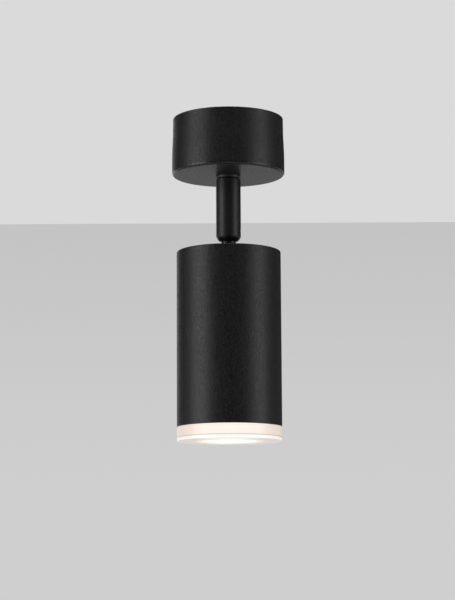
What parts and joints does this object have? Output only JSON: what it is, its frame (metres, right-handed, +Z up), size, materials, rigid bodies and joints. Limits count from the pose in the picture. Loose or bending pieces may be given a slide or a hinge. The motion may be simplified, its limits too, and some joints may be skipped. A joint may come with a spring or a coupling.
{
  "type": "ceiling spotlight",
  "caption": "Surface-mounted tube spotlight: round black canopy, short turning stem with a tilt joint, plain cylindrical head and a lit translucent front ring.",
  "frame": {"origin": "centre of the two ceiling slots, on the ceiling plane", "axes": "+Z up, out of the ceiling face; the light hangs along -Z; -Y is the front seen in the picture, the head tilts towards +Y; +X to the right"},
  "size_m": [0.0652, 0.0652, 0.1875],
  "materials": {
    "satin_black": "satin, finely textured powder coat",
    "blackened_steel": "blackened",
    "zinc_steel": "zinc plated",
    "brass": "turned",
    "spring_steel": "oiled spring steel",
    "tinned_copper": "tinned",
    "earth_insulation": "green and yellow insulation",
    "lead_insulation": "silicone insulation",
    "white_nylon": "moulded",
    "black_nylon": "matte",
    "steatite": "unglazed ceramic",
    "lamp_aluminium": "die cast, satin",
    "nickel": "nickel plated",
    "lens_lit": "prismatic lens, lit warm white",
    "lit_acrylic": "translucent acrylic, lit from inside",
    "black_rubber": "matte"
  },
  "bodies": {
    "canopy": {"ceiling_bracket": "zinc_steel", "canopy_cup": "satin_black", "canopy_screws": "blackened_steel", "earth_screw": "brass", "earth_tags": "tinned_copper", "earth_lead": "earth_insulation", "terminal_block": "white_nylon", "terminal_sleeves": "brass", "terminal_screws": "zinc_steel", "block_screw": "zinc_steel", "canopy_leads": "lead_insulation", "nipple_nut": "zinc_steel", "lock_washer": "zinc_steel", "swivel_collar": "satin_black", "swivel_nut": "brass"},
    "stem": {"stem_tube": "satin_black", "swivel_bush": "brass", "stop_pin": "zinc_steel", "groove_washer": "black_nylon", "disc_spring": "spring_steel", "stem_leads": "lead_insulation", "tilt_screw": "blackened_steel", "tilt_washers": "zinc_steel"},
    "head": {"tilt_knuckle": "satin_black", "head_housing": "satin_black", "knuckle_washer": "zinc_steel", "knuckle_nut": "zinc_steel", "lamp_bridge": "zinc_steel", "lamp_holder": "steatite", "holder_cover": "steatite", "holder_screws": "zinc_steel", "head_leads": "lead_insulation"},
    "lamp": {"lamp_body": "lamp_aluminium", "lamp_pins": "nickel", "lamp_lens": "lens_lit"},
    "ring": {"front_ring": "lit_acrylic", "ring_seal": "black_rubber"}
  },
  "joints": [
    {"name": "stem_swivel", "type": "hinge", "parent": "canopy", "child": "stem", "pos_m": [0, 0, -0.0356], "axis": [0, 0, 1], "range_deg": [-165, 165]},
    {"name": "head_tilt", "type": "hinge", "parent": "stem", "child": "head", "pos_m": [0, 0, -0.066], "axis": [1, 0, 0], "range_deg": [0, 90]},
    {"name": "lamp_twist", "type": "hinge", "parent": "head", "child": "lamp", "pos_m": [0, 0, -0.1249], "axis": [0, 0, 1], "range_deg": [0, 25]},
    {"name": "ring_pull", "type": "slide", "parent": "head", "child": "ring", "axis": [0, 0, -1], "range_m": [0, 0.012]}
  ]
}
